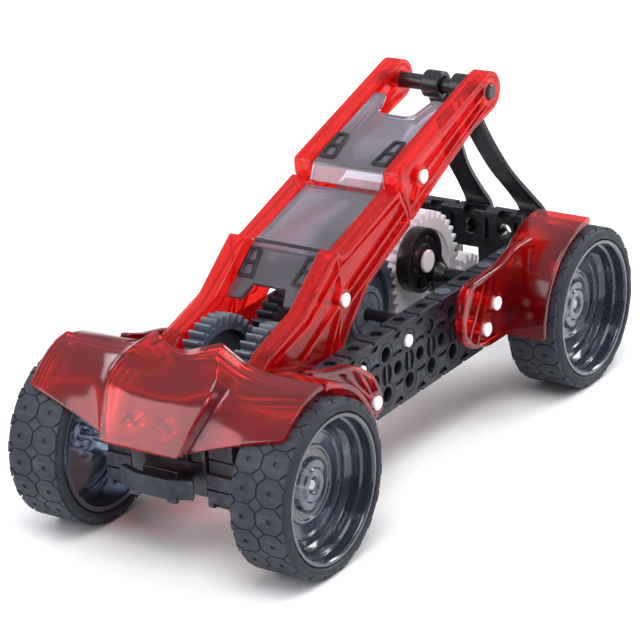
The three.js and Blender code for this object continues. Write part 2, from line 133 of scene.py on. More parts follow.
def inset(loop, by):
    """The outline moved inwards by an even width, less so at sharp corners."""
    area = sum(at.x * after.y - after.x * at.y for _, at, after in neighbours(loop))
    side = 1 if area > 0 else -1
    out = []
    for before, at, after in neighbours(loop):
        first, second = (at - before).normalized(), (after - at).normalized()
        middle = Vector((-first.y - second.y, first.x + second.x)) * side
        out.append(tuple(at + middle * (2 * by / max(middle.length_squared, 0.6))))
    return out


def strip(start, end, width):
    """Outline of a straight rib."""
    a, b = Vector(start), Vector(end)
    along = (b - a).normalized()
    across = Vector((-along.y, along.x)) * (width / 2)
    return [tuple(p) for p in (a - across, b - across, b + across, a + across)]


# ---- mesh kit ----
def place(x, y, z):
    return Vector((x * MM, (y + FRONT_Y) * MM, z * MM))


def linked(data, name="shape"):
    obj = bpy.data.objects.new(name, data)
    bpy.context.scene.collection.objects.link(obj)
    return obj


def tidy_mesh(mesh, weld=1e-6):
    """Joins points nearer than weld and turns all faces outwards."""
    work = bmesh.new()
    work.from_mesh(mesh)
    bmesh.ops.remove_doubles(work, verts=work.verts, dist=weld)
    bmesh.ops.recalc_face_normals(work, faces=work.faces)
    work.to_mesh(mesh)
    work.free()
    mesh.update()


def solid(points, faces):
    """A mesh object from points in millimetres."""
    mesh = bpy.data.meshes.new("shape")
    mesh.from_pydata([place(*p) for p in points], [], faces)
    tidy_mesh(mesh)
    return linked(mesh)


# From a plate's own (u, v, normal) to the car's (x, y, z), by what u and v are.
SIDEWAYS = Matrix(((0, 0, 1, 0), (1, 0, 0, 0), (0, 1, 0, 0), (0, 0, 0, 1)))  # y and z
LYING = Matrix.Identity(4)  # x and y
UPRIGHT = Matrix(((1, 0, 0, 0), (0, 0, 1, 0), (0, 1, 0, 0), (0, 0, 0, 1)))  # x and z


def slope_matrix(start, end):
    """Plate coordinates for a sloping panel: u across the car, v up the slope from start."""
    along = Vector((0, end[0] - start[0], end[1] - start[1])).normalized()
    across = Vector((1, 0, 0))
    turn = Matrix((across, along, across.cross(along))).transposed().to_4x4()
    turn.translation = Vector((0, *start))
    return turn


def flat_plate(outline, depth, holes=(), edge=0.3, steps=2):
    """A flat plate in its own millimetres, with rounded edges and holes through it: outline and
    holes as (u, v), depth as (from, to) along the plate's normal."""
    curve = bpy.data.curves.new("outline", "CURVE")
    curve.dimensions = "2D"
    curve.fill_mode = "BOTH"
    curve.extrude = (depth[1] - depth[0]) / 2 - edge
    curve.bevel_depth = edge
    curve.bevel_resolution = steps
    curve.offset = -edge
    for loop in [outline, *holes]:
        spline = curve.splines.new("POLY")
        spline.points.add(len(loop) - 1)
        for point, (u, v) in zip(spline.points, loop):
            point.co = (u, v, 0, 1)
        spline.use_cyclic_u = True
    holder = linked(curve)
    graph = bpy.context.evaluated_depsgraph_get()
    mesh = bpy.data.meshes.new_from_object(holder.evaluated_get(graph))
    bpy.data.objects.remove(holder)
    bpy.data.curves.remove(curve)
    mesh.transform(Matrix.Translation((0, 0, (depth[0] + depth[1]) / 2)))
    tidy_mesh(mesh, 1e-3)
    return linked(mesh)


def plate(outline, depth, holes=(), turn=SIDEWAYS, edge=0.3, steps=2):
    """A flat plate set into the car by turn, which takes (u, v, normal) to (x, y, z)."""
    shape = flat_plate(outline, depth, holes, edge, steps)
    to_frame = Matrix.Translation((0, FRONT_Y * MM, 0)) @ Matrix.Scale(MM, 4)
    shape.data.transform(to_frame @ turn)
    tidy_mesh(shape.data)
    return shape


def cutter(outline, depth):
    """A crosswise plate with sharp edges, for cutting shallow recesses."""
    return plate(outline, depth, edge=0.05, steps=0)


def block(x, y, z, edge=0.5):
    """A box with rounded edges."""
    return plate(rectangle(x, y), z, turn=LYING, edge=edge)


def upright(radius, x, y, z, edge=0.2):
    """A round upright disc with rounded rims."""
    return plate(ring_points(radius, x, y), z, turn=LYING, edge=edge)


def loft(rings, closed=False):
    """A solid through rings of points with the same count. Closed, the last ring joins the first,
    and otherwise both end rings are capped."""
    count, total = len(rings[0]), len(rings)
    faces = [] if closed else [tuple(range(count)), tuple(range((total - 1) * count, total * count))]
    for r in range(total if closed else total - 1):
        here, there = r * count, (r + 1) % total * count
        for i in range(count):
            j = (i + 1) % count
            faces.append((here + i, here + j, there + j, there + i))
    return solid([p for ring in rings for p in ring], faces)


def lathe(profile, at, steps=96):
    """A ring turned round a crosswise axis at (y, z): profile as a closed loop of (radius, x)."""
    rings = []
    for i in range(steps):
        angle = 2 * math.pi * i / steps
        y, z = math.cos(angle), math.sin(angle)
        rings.append([(x, at[0] + radius * y, at[1] + radius * z) for radius, x in profile])
    return loft(rings, closed=True)


def tube(radii, x, at, steps=32, edge=0.0):
    """A straight ring round a crosswise axis, radii as (inner, outer) and x as (from, to)."""
    profile = rectangle(radii, x)
    return lathe(soften(profile, edge) if edge else profile, at, steps)


def mirrored(obj):
    """A copy on the other side of the car."""
    mesh = obj.data.copy()
    mesh.transform(Matrix.Scale(-1, 4, Vector((1, 0, 0))))
    mesh.flip_normals()
    return linked(mesh)


def combine(base, tools, operation):
    """Joins tools to base or cuts them out of it, and removes the tools."""
    for tool in tools:
        step = base.modifiers.new(operation, "BOOLEAN")
        step.operation = operation
        step.solver = "MANIFOLD"
        step.object = tool
    graph = bpy.context.evaluated_depsgraph_get()
    mesh = bpy.data.meshes.new_from_object(base.evaluated_get(graph))
    base.modifiers.clear()
    base.data = mesh
    for tool in tools:
        bpy.data.objects.remove(tool)
    return base


def unite(base, *tools):
    return combine(base, tools, "UNION")


def carve(base, *tools):
    return combine(base, tools, "DIFFERENCE")


def merged(objects):
    """One object that holds several closed shells."""
    work = bmesh.new()
    for obj in objects:
        work.from_mesh(obj.data)
        bpy.data.objects.remove(obj)
    mesh = bpy.data.meshes.new("shape")
    work.to_mesh(mesh)
    work.free()
    return linked(mesh)


def settle(obj, name, slot, node=None, body=CHASSIS, angle=32, look=None):
    """Gives a finished shape its name, material and body, and hides the CAD node that it stands for.
    Edges sharper than angle stay sharp."""
    mesh = obj.data
    mesh.polygons.foreach_set("use_smooth", [True] * len(mesh.polygons))
    mesh.set_sharp_from_angle(angle=math.radians(angle))
    obj.name = mesh.name = name
    mesh.materials.clear()
    mesh.materials.append(MATERIALS[look or slot])
    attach(obj, body)
    if node:
        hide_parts(node)


def settle_pair(left, stem, slot, node=None, body=CHASSIS, angle=32, look=None):
    """Settles a +X piece and its mirror image, each in place of its own CAD node."""
    for obj, side in ((left, "left"), (mirrored(left), "right")):
        settle(obj, f"{stem}_{side}", slot, node and f"{node}_{side}", body, angle, look)


# ---- materials ----
def rgb(red, green, blue):
    """A colour as seen on a screen, 0 to 255, as linear light."""
    parts = [c / 255 for c in (red, green, blue)]
    return [c / 12.92 if c < 0.04045 else ((c + 0.055) / 1.055) ** 2.4 for c in parts] + [1.0]


class Nodes:
    """Short calls for building one material's node tree."""

    def __init__(self, name):
        self.material = bpy.data.materials.new(name)
        self.material.use_nodes = True
        self.tree = self.material.node_tree
        self.tree.nodes.clear()
        self.where = self.add("ShaderNodeTexCoord").outputs["Object"]

    def add(self, kind, sockets=None, **settings):
        """A node with its settings; a socket takes a number, a colour or another node's output."""
        node = self.tree.nodes.new(kind)
        for key, value in settings.items():
            setattr(node, key, value)
        for key, value in (sockets or {}).items():
            if isinstance(value, bpy.types.NodeSocket):
                self.tree.links.new(value, node.inputs[key])
            else:
                node.inputs[key].default_value = value
        return node

    def done(self, surface):
        self.add("ShaderNodeOutputMaterial", {"Surface": surface})
        return self.material

    def noise(self, scale, detail=4.0, rough=0.55, stretch=None):
        where = self.where
        if stretch:
            where = self.add("ShaderNodeMapping", {"Vector": where, "Scale": stretch}).outputs["Vector"]
        sockets = {"Vector": where, "Scale": scale, "Detail": detail, "Roughness": rough}
        return self.add("ShaderNodeTexNoise", sockets).outputs["Fac"]

    def remap(self, source, low, high, out_low, out_high):
        limits = {"From Min": low, "From Max": high, "To Min": out_low, "To Max": out_high}
        return self.add("ShaderNodeMapRange", {"Value": source, **limits}).outputs["Result"]

    def mix(self, share, first, second):
        return self.add("ShaderNodeMix", {0: share, 6: first, 7: second}, data_type="RGBA").outputs[2]

    def blend(self, share, first, second):
        """One shader over another."""
        return self.add("ShaderNodeMixShader", {0: share, 1: first, 2: second}).outputs[0]

    def math(self, operation, first, second):
        return self.add("ShaderNodeMath", {0: first, 1: second}, operation=operation).outputs[0]

    def bump(self, height, strength, distance, before=None):
        sockets = {"Height": height, "Strength": strength, "Distance": distance}
        if before:
            sockets["Normal"] = before
        return self.add("ShaderNodeBump", sockets).outputs["Normal"]

    def edges(self, low, high):
        """Near 1 on the outer edges of a shape, where handling wears it; the red clear plastics use it for
        a painted edge glow.
        """
        pointiness = self.add("ShaderNodeNewGeometry").outputs["Pointiness"]
        patches = self.remap(self.noise(420), 0.35, 0.7, 0.2, 1.0)
        return self.math("MULTIPLY", self.remap(pointiness, low, high, 0.0, 1.0), patches)


def moulded_colour(kit, shades, edge_wear_and_glow):
    """Slow cloudy change between two close shades, and pale edges: rubbed wear on most plastics, and a
    painted glow of light at the edges on the red clear ones.
    """
    base, deep, pale = (rgb(*shade) for shade in shades)
    cloud = kit.remap(kit.noise(55, 3), 0.3, 0.7, 0.0, 1.0)
    fine = kit.remap(kit.noise(700, 2), 0.35, 0.65, 0.0, 0.35)
    colour = kit.mix(fine, kit.mix(cloud, base, deep), deep)
    # pale edges: real wear, and on the red clear plastics a painted glow where light pipes to the edges
    wear_and_glow_edges = kit.math("MULTIPLY", kit.edges(0.52, 0.62), edge_wear_and_glow)
    return kit.mix(wear_and_glow_edges, colour, pale)


SCRATCH_STRETCH = (1.0, 0.08, 0.3)  # scratches run mostly along the car


def moulded_surface(kit, rough, grain, scratch):
    """Uneven gloss, moulded grain and a few fine scratches."""
    lines = kit.noise(300, 6, 0.7, SCRATCH_STRETCH)
    grains = kit.bump(kit.noise(1400, 2), grain, 0.00006)
    gloss = kit.remap(kit.noise(90, 4), 0.3, 0.7, *rough)
    return {"Roughness": gloss, "Normal": kit.bump(lines, scratch, 0.00008, grains)}


def polished_surface(kit, rough):
    """Slow waves in a polished skin, with a few hairline scratches."""
    lines = kit.noise(120, 2, 0.6, SCRATCH_STRETCH)
    waves = kit.bump(kit.noise(60, 1), 0.05, 0.0004)
    gloss = kit.remap(kit.noise(40, 1), 0.3, 0.7, *rough)
    return {"Roughness": gloss, "Normal": kit.bump(lines, 0.03, 0.0001, waves)}


def moulded(name, shades, rough, grain=0.25, scratch=0.06, coat=0.0, metal=0.0):
    """Opaque plastic with a moulded surface, or metal."""
    kit = Nodes(name)
    shader = kit.add("ShaderNodeBsdfPrincipled", {
        "Base Color": moulded_colour(kit, shades, 0.6), "Metallic": metal, "IOR": 1.42,
        "Coat Weight": coat, "Coat Roughness": 0.12, **moulded_surface(kit, rough, grain, scratch),
    })
    return kit.done(shader.outputs[0])


def gloss_over(kit, under, shine):
    """A clear polished skin over a see-through body, brighter at a slant."""
    mirror = kit.add("ShaderNodeBsdfGlossy", {"Color": (0.97, 0.97, 1.0, 1.0), "Roughness": 0.13})
    slant = kit.add("ShaderNodeFresnel", {"IOR": 1.5}).outputs[0]
    return kit.blend(kit.math("MULTIPLY", slant, shine), under, mirror.outputs[0])


def clear_moulded(name, shades, rough, tint, see, glow, edge_wear_and_glow, shine):
    """Tinted clear plastic: a glossy skin that shows what is behind it. see is how much of that
    shows face on and at a slant, and glow is how much light it lets through from behind."""
    kit = Nodes(name)
    colour = moulded_colour(kit, shades, edge_wear_and_glow)
    body = kit.add("ShaderNodeBsdfPrincipled", {
        "Base Color": colour, "IOR": 1.5, **polished_surface(kit, rough),
    }).outputs[0]
    if glow:
        lit = kit.add("ShaderNodeBsdfTranslucent", {"Color": colour}).outputs[0]
        body = kit.blend(glow, body, lit)
    through = kit.add("ShaderNodeBsdfTransparent", {"Color": rgb(*tint)}).outputs[0]
    facing = kit.add("ShaderNodeLayerWeight", {"Blend": 0.35}).outputs["Facing"]
    cloud = kit.remap(kit.noise(45, 1), 0.3, 0.7, -0.02, 0.02)
    share = kit.math("ADD", kit.remap(facing, 0.0, 1.0, *see), cloud)
    return kit.done(gloss_over(kit, kit.blend(share, body, through), shine))


# Shades are the main one, a deeper one for the clouds in it, and a pale one for the edges: rubbed wear on
# most plastics, and a painted edge glow on the red ones.
CLEAR_LOOKS = {
    # red clear: its bright pale shade is a painted glow at the edges
    "red_clear": dict(
        shades=[(196, 10, 24), (172, 7, 19), (255, 84, 70)], rough=(0.16, 0.24),
        tint=(255, 106, 102), see=(0.9, 0.3), glow=0.5, edge_wear_and_glow=0.5, shine=1.0),
    # the rails: the same red clear plastic in lighter shades, painted light for their brighter lit look;
    # its pale shade is a painted edge glow too
    "red_clear_painted_lit": dict(
        shades=[(240, 18, 26), (214, 12, 20), (255, 96, 80)], rough=(0.14, 0.22),
        tint=(255, 122, 114), see=(0.84, 0.3), glow=0.6, edge_wear_and_glow=0.5, shine=0.5),
    "smoke_clear": dict(
        shades=[(160, 152, 168), (146, 138, 154), (232, 230, 238)], rough=(0.1, 0.16),
        tint=(214, 208, 218), see=(0.93, 0.4), glow=0.0, edge_wear_and_glow=0.2, shine=1.5),
    "rim_clear": dict(
        shades=[(58, 68, 82), (51, 60, 73), (170, 182, 196)], rough=(0.08, 0.12),
        tint=(190, 202, 215), see=(0.7, 0.15), glow=0.0, edge_wear_and_glow=0.2, shine=1.3),
}
MOULDED_LOOKS = {
    "slate_plastic": dict(shades=[(27, 31, 42), (20, 23, 32), (78, 86, 104)], rough=(0.36, 0.52)),
    "black_plastic": dict(shades=[(22, 22, 28), (14, 14, 19), (70, 72, 84)], rough=(0.24, 0.4), coat=0.2),
    "grey_gear": dict(shades=[(80, 91, 106), (62, 71, 84), (140, 152, 166)], rough=(0.34, 0.5)),
    "white_plastic": dict(
        shades=[(246, 248, 252), (232, 235, 240), (252, 252, 254)], rough=(0.28, 0.42), grain=0.15),
    "tyre": dict(
        shades=[(42, 46, 57), (33, 36, 46), (78, 84, 98)], rough=(0.5, 0.7), grain=0.4, scratch=0.1),
    "axle_steel": dict(
        shades=[(176, 178, 184), (148, 150, 156), (214, 216, 220)], rough=(0.2, 0.34),
        grain=0.1, scratch=0.3, metal=1.0),
}
MATERIALS = {name: clear_moulded(name, **look) for name, look in CLEAR_LOOKS.items()}
MATERIALS |= {name: moulded(name, **look) for name, look in MOULDED_LOOKS.items()}


# ---- side beams ----
def notched_outline():
    """Side view of a beam: cut corners, and a small notch between each two holes."""
    low, high = BEAM_Z
    start, end, corner = -HALF, 12.5 * PITCH, 1.2
    notch = [(-0.8, 0.0), (-0.45, 0.9), (0.45, 0.9), (0.8, 0.0)]
    bottom = [(y + u, low + v) for y in CELLS for u, v in notch]
    top = [(y - u, high - v) for y in reversed(CELLS) for u, v in notch]
    return [
        (start, low + corner), (start + corner, low), *bottom, (end - corner, low), (end, low + corner),
        (end, high - corner), (end - corner, high), *top, (start + corner, high), (start, high - corner),
    ]


def beam_pockets():
    """Shallow recesses of the moulded lattice, as outlines on the beam's outer face."""
    low, high = BEAM_Z
    wedge = [(0.55, -3.3), (1.7, -3.0), (2.7, -1.2), (2.7, 1.2), (1.7, 3.0), (0.55, 3.3)]
    foot = [(-2.6, 1.5), (2.6, 1.5), (1.2, 3.1), (-1.2, 3.1)]
    pockets = []
    for y in (k * PITCH for k in STATIONS[1:-1]):
        for side in (-1, 1):
            pockets.append([(y + side * u, MID_Z + v) for u, v in wedge])
    for y in CELLS:
        arc = ring_points(5.6, y, MID_Z, 7, 270 - 26, 52)
        arc += ring_points(4.5, y, MID_Z, 7, 270 + 30, -60)
        for flip, edge in ((-1, high), (1, low)):
            pockets.append([(u, MID_Z + flip * (v - MID_Z)) for u, v in arc])
            pockets.append([(y + u, edge + flip * v) for u, v in foot])
    return pockets


def side_beam():
    """The lattice beam: round holes, sunk pockets, a ring round each hole, sockets above and below."""
    holes = [(k * PITCH, z) for k in STATIONS for z in (AXLE_Z, SHAFT_Z)]
    bores = [ring_points(HOLE_R, *hole, 24) for hole in holes]
    bores += [ring_points(HOLE_R - 0.3, y, MID_Z, 24) for y in CELLS]
    beam = plate(notched_outline(), BEAM, bores, edge=0.35)
    pockets = [cutter(soften(pocket, 0.3, 2), into(BEAM[1], -0.8)) for pocket in beam_pockets()]
    rings = [tube((3.55, 3.85), into(BEAM[1], -0.3), hole) for hole in holes]
    sockets = [
        upright(1.9, BEAM_X, k * PITCH, z)
        for z in (into(BEAM_Z[1], -1.4), into(BEAM_Z[0], 1.4)) for k in STATIONS
    ]
    return carve(beam, merged(pockets), merged(rings), merged(sockets))


settle_pair(side_beam(), "beam", "slate_plastic", "side_beam")


# ---- raked rails ----
def ribbed_recess(outline, border, ribs, collars, depth):
    """A tool that cuts a shallow recess, leaving a border, ribs and collars round the holes."""
    tool = cutter(inset(outline, border), depth)
    taller = (depth[0] - 1, depth[1] + 1)
    keep = [strip(*rib, 0.8) for rib in ribs]
    keep += [ring_points(radius, *at, 24) for at, radius in collars]
    return carve(tool, *(cutter(shape, taller) for shape in keep))


STEP_Y = 85.5
LOWER_PIN = (52, 59)
UPPER_PIN = (97.4, 82.8)
LOWER_RAIL = [
    (8.8, 51.4), (15, 48.9), (27.5, 45.6), (34, 43.6), (35, 36), (44.6, 36), (52, 45.8), (65, 58.6),
    (90.5, 69.8), (89.1, 74), (84.7, 82.3), (55, 72.6), (52.5, 72.4), (50.2, 74.6), (33, 61.4), (14, 55.6),
]
LOWER_RIBS = [
    ((16, 52.4), (34, 57.4)), ((34, 57.4), (52, 69)), ((52, 69), (88, 79.6)), ((30, 48), LOWER_PIN),
    (LOWER_PIN, (40, 38)), (LOWER_PIN, (47, 41)), (LOWER_PIN, (88, 75.4)), (LOWER_PIN, (50, 72)),
    ((54, 56), (89, 71.6)),
]
UPPER_RAIL = [
    (STEP_Y, 87.1), (STEP_Y, 82.6), (89.5, 74.4), (90.9, 70.4), (104.5, 77.2), (128.5, 88), (141.2, 91.2),
    *ring_points(6.4, *TOP_SHAFT, 12, -60, 168),
]
UPPER_RIBS = [
    ((87, 85.6), (137, 101)), ((90, 74.6), (140, 96.4)), (UPPER_PIN, (91, 72)), (UPPER_PIN, (140, 99)),
    ((102, 79), (140, 94)),
]


def rail(outline, ribs, pin, *collars):
    """A rail length with a ribbed recess in its outer face and a plainer one in its inner face."""
    body = plate(soften(outline, 1.2), RAIL, [ring_points(PIN_R + GAP, *pin, 20)], edge=0.35)
    marks = [(pin, 3.4), *collars]
    border, deep = 1.4, 1.1
    outer = ribbed_recess(outline, border, ribs, marks, into(RAIL[1], -deep))
    inner = ribbed_recess(outline, border, ribs[:3], marks, into(RAIL[0], deep))
    return carve(body, outer, inner)


lower_rail = rail(LOWER_RAIL, LOWER_RIBS, LOWER_PIN)
# the rails take the lighter copy of the red clear plastic, with painted light in its shades
settle_pair(lower_rail, "rail_lower", "red_clear", "lower_rail", look="red_clear_painted_lit")
shaft_hole = tube((CORE, 2.9), (RAIL[0] - 1, RAIL[1] + 1), TOP_SHAFT)
upper_rail = carve(rail(UPPER_RAIL, UPPER_RIBS, UPPER_PIN, (TOP_SHAFT, 4.6)), shaft_hole)
settle_pair(upper_rail, "rail_upper", "red_clear", "upper_rail", look="red_clear_painted_lit")

# ---- wheel arches ----
ARCH_IN = 27.7
ARCH_OUT = 29.6
BRACKET_SKIN = 3.2
FRONT_PINS = [(3.5 * PITCH, MID_Z)]
REAR_PINS = [(9 * PITCH, SHAFT_Z), (8.5 * PITCH, MID_Z)]


def arch(axle_y, sweep, outline, reach, pins, ribs):
    """A band over part of a tyre, one with the bracket that pins it to the beam."""
    start, end = sweep
    band = ring_points(ARCH_OUT, axle_y, AXLE_Z, 40, start, end - start)
    band += ring_points(ARCH_IN, axle_y, AXLE_Z, 40, end, start - end)
    cover = plate(band, (BRACKET[0] + 0.6, reach), edge=0.5, steps=3)
    skin = (BRACKET[1] - BRACKET_SKIN, BRACKET[1])
    holes = [ring_points(PIN_R + GAP, *pin, 20) for pin in pins]
    body = plate(soften(outline, 2.4, 4), skin, holes, edge=0.6, steps=3)
    recess = ribbed_recess(outline, 1.6, ribs, [(pin, 3.6) for pin in pins], into(skin[1], -1.3))
    room = tube((CORE, ARCH_IN), (0, 60), (axle_y, AXLE_Z), 128)
    inner, foot, root = PIN_R + 0.35, BRACKET[0], skin[0] + 0.6
    leg = soften([(inner, foot), (3.4, foot), (3.8, root), (inner, root)], 0.3)
    legs = [lathe(leg, pin, 40) for pin in pins]
    web = cheek(pins[0], axle_y, (foot, root))
    return unite(carve(unite(body, web), recess, room), cover, *legs)


def cheek(pin, axle_y, x):
    """A cross wall that ties a bracket's plate to the beam side, from a pin's leg to the arch."""
    middle = Vector((axle_y, AXLE_Z))
    out = (Vector(pin) - middle).normalized()
    rim_end = middle + out * (ARCH_IN + 0.8)
    pin_end = Vector(pin) - out * 3.1
    near, far = sorted((pin_end, rim_end), key=lambda end: (end - middle).length)
    return plate(strip(near, far, 1.6), x, edge=0.2, steps=1)


FRONT_BRACKET = [
    (12, 54), (22, 50.5), (34.4, 47.8), (44.5, 41), (49, 33.4), (48.4, 28.4), (44, 26.6), (28.6, 26.6),
    (20, 30),
]
FRONT_RIBS = [((44.4, 32.2), (30, 46)), ((44.4, 32.2), (36, 46))]
REAR_BRACKET = [
    (94.6, 40.6), (97, 46.4), (100.6, 49.2), (118, 49.4), (128, 52), (140, 52), (140, 30), (126, 25.4),
    (110, 25.6), (100, 28.2), (95.2, 33),
]
REAR_RIBS = [
    ((98, 31), (108, 47)), ((103, 29), (112, 48)), ((107.9, 32.1), (114.3, 38.5)),
    ((114.3, 38.5), (117, 49)), ((107.9, 32.1), (118, 27)), ((97, 46), (92, 33)),
]
front_arch = arch(0, (4, 82), FRONT_BRACKET, 44, FRONT_PINS, FRONT_RIBS)
rear_arch = arch(WHEELBASE, (87, 182), REAR_BRACKET, 45.5, REAR_PINS, REAR_RIBS)
settle_pair(front_arch, "arch_front", "red_clear", "front_arch")
settle_pair(rear_arch, "fender_rear", "red_clear", "rear_fender")

# ---- nose cowl ----
ROW_CREASES = {2: 0.25, 3: 0.55, 4: 0.3}  # by row, from the nose
COLUMN_CREASES = {1: 0.3, 2: 0.95, 3: 0.75}  # by column, from the middle
COWL_ROWS = [  # rows over the +X half, from the middle outwards
    [(0, -25.9, 38.3), (9, -25.9, 38.4), (13.2, -25.6, 38.6), (14.6, -23.2, 39.2), (18, -21.8, 40.4),
     (26, -20.8, 43), (36, -19.4, 45.8), (43.4, -17.4, 47)],
    [(0, -23.4, 44), (9.8, -23, 44.3), (15.5, -21.8, 44.8), (16.9, -19.8, 44.5), (20, -18.6, 45.4),
     (27, -17.4, 47.4), (36, -15, 49.6), (43.7, -12.6, 51.2)],
    [(0, -18.4, 51.6), (11, -17.8, 52.1), (18, -16.2, 52.8), (19.6, -14.6, 50.6), (22.4, -13.6, 50.8),
     (28, -12.2, 51.6), (36, -9.6, 53), (43.9, -8, 54)],
    [(0, -11.8, 54.8), (10.4, -10.8, 56.2), (16.8, -9.8, 57.4), (20.4, -9, 54.2), (23, -8.4, 53.8),
     (28, -7.6, 54), (36, -5.4, 54.8), (44, -4.4, 55.4)],
    [(0, -6, 58.2), (8.4, -4.2, 61), (13, -4.2, 61.4), (19.6, -3.6, 56.6), (22.6, -3.4, 55.6),
     (28, -3, 55.2), (36, -1.6, 55.6), (44, -0.8, 56)],
    [(0, -3.2, 59.4), (7, -2, 61.9), (11.2, 1.6, 62.6), (18.4, 2.8, 57.4), (22.4, 2.8, 56),
     (28, 2.6, 55.6), (36, 2.4, 55.8), (44, 1.8, 56.2)],
]


def cowl_sheet():
    """A coarse open sheet over the hood and both front wheels, with its creases."""
    rows = [[(-x, y, z) for x, y, z in reversed(row[1:])] + row for row in COWL_ROWS]
    count = len(rows[0])
    faces = [
        (r * count + c, r * count + c + 1, (r + 1) * count + c + 1, (r + 1) * count + c)
        for r in range(len(rows) - 1) for c in range(count - 1)
    ]
    sheet = solid([p for row in rows for p in row], faces)
    if sheet.data.polygons[0].normal.z < 0:
        sheet.data.flip_normals()
    crease = sheet.data.attributes.new("crease_edge", "FLOAT", "EDGE")
    for edge in sheet.data.edges:
        (row, column), (other_row, other_column) = (divmod(i, count) for i in edge.vertices)
        if row == other_row:
            crease.data[edge.index].value = ROW_CREASES.get(row, 0.0)
        elif column == other_column:
            crease.data[edge.index].value = COLUMN_CREASES.get(abs(column - count // 2), 0.0)
    return sheet


def nose_cowl():
    """The smooth skin made from the sheet, with two short rings under the hood."""
    skin = cowl_sheet()
    rounding = skin.modifiers.new("rounding", "SUBSURF")
    rounding.levels = rounding.render_levels = 3
    rounding.boundary_smooth = "PRESERVE_CORNERS"
    shell = skin.modifiers.new("shell", "SOLIDIFY")
    shell.thickness = 1.6 * MM
    shell.offset = -1
    lip = skin.modifiers.new("lip", "BEVEL")
    lip.width = 0.35 * MM
    lip.segments = 2
    lip.limit_method = "ANGLE"
    lip.angle_limit = math.radians(50)
    bosses = [
        plate(ring_points(2.9, x, 43.4, 24), (-21.6, -16.8), [ring_points(1.6, x, 43.4, 16)], UPRIGHT)
        for x in about(0, 5.6)
    ]
    return unite(skin, *bosses)


settle(nose_cowl(), "cowl_nose", "red_clear", "nose_cowl")

# ---- canopy ----
CANOPY_X = RAIL[0] - GAP
PANEL = 1.5
FRONT_LOW = (37.6, 60.2)  # corners of the side view, as (y, z)
BROW = (53, 72)
STEP_LOW = (83.8, 81.2)
STEP_TOP = (86.1, 86.4)
ROOF_END = (122, 98)


def along_slope(start, end, y):
    """Distance up a slope at which a lengthwise place lies."""
    return (y - start[0]) / (end[0] - start[0]) * math.dist(start, end)


def sloping(start, end, outline, thickness, holes=(), lift=0.0, edge=0.2):
    """A plate in a slope's plane: outline in (x, distance up the slope)."""
    return plate(outline, (lift - thickness, lift), holes, slope_matrix(start, end), edge)


def canopy_roof():
    """The roof, open at its rear end in the middle, and the short steep face at the step."""
    side, slot, bend = CANOPY_X, 6.8, 3.2
    reach = math.dist(STEP_TOP, ROOF_END)
    cut_at = along_slope(STEP_TOP, ROOF_END, 113)
    curve = ring_points(bend, -slot + bend, cut_at + bend, 7, 180, 90)
    curve += ring_points(bend, slot - bend, cut_at + bend, 7, 270, 90)
    outline = [
        (-side, 0), (side, 0), (side, reach), (slot + 1.6, reach), *reversed(curve),
        (-slot - 1.6, reach), (-side, reach),
    ]
    face = rectangle(about(0, side), (0, math.dist(STEP_LOW, STEP_TOP)))
    return unite(sloping(STEP_TOP, ROOF_END, outline, PANEL), sloping(STEP_LOW, STEP_TOP, face, PANEL))


def canopy_front():
    """The windscreen, cut out low in the middle, and the flatter panel behind it."""
    side = CANOPY_X
    reach = math.dist(FRONT_LOW, BROW)
    cut_at = along_slope(FRONT_LOW, BROW, 42)
    outline = [
        (-side, 0), (-7.4, 0), (-5.8, cut_at), (5.8, cut_at), (7.4, 0), (side, 0), (side, reach),
        (-side, reach),
    ]
    behind = rectangle(about(0, side), (-0.4, math.dist(BROW, STEP_LOW) - 1.9))
    return unite(sloping(FRONT_LOW, BROW, outline, PANEL), sloping(BROW, STEP_LOW, behind, PANEL))


def window_frame(start, end, span):
    """A black frame with a middle bar, beside a rail and just proud of the panel."""
    low, high = (along_slope(start, end, y) for y in span)
    inner, outer, bar, lean = 6.6, CANOPY_X - 0.3, 1.1, 1.4
    left, right = inner + bar, outer - bar
    below, above = about((low + high) / 2, bar / 2)
    outline = [(inner, low), (outer, low), (outer, high), (inner + lean, high)]
    panes = [
        [(left, low + bar), (right, low + bar), (right, below), (left + lean / 2, below)],
        [(left + lean / 2, above), (right, above), (right, high - bar), (left + lean, high - bar)],
    ]
    panes = [soften(pane, 0.5) for pane in panes]
    return sloping(start, end, soften(outline, 0.8), 0.7, panes, lift=0.75, edge=0.15)


settle(canopy_roof(), "canopy_roof", "smoke_clear", "roof_panel")
settle(canopy_front(), "canopy_front", "smoke_clear", "windscreen_panel")
settle_pair(window_frame(FRONT_LOW, BROW, (43, 51.4)), "window_front", "black_plastic")
settle_pair(window_frame(STEP_TOP, ROOF_END, (88.6, 100.6)), "window_roof", "black_plastic")
brow = rectangle(about(0, CANOPY_X - 0.3), (-0.2, 0.9))
settle(sloping(BROW, STEP_LOW, brow, 0.6, lift=0.6, edge=0.15), "brow_bar", "black_plastic")


# ---- top shaft and struts ----
def shaft_shape(radius, x, at):
    """A plastic shaft with a chamfer at each end and a waist groove near each end."""
    start, end = x
    chamfer, waist = 0.5, radius - 0.35
    half = [
        (CORE, 0), (radius - chamfer, 0), (radius, chamfer), (radius, 2.6), (waist, 2.9), (waist, 3.5),
        (radius, 3.8),
    ]
    profile = [(r, start + along) for r, along in half]
    profile += [(r, end - along) for r, along in reversed(half)]
    return lathe(profile, at, 40)


settle(shaft_shape(2.5, cad_span("top_shaft", X), TOP_SHAFT), "shaft_top", "black_plastic", "top_shaft")

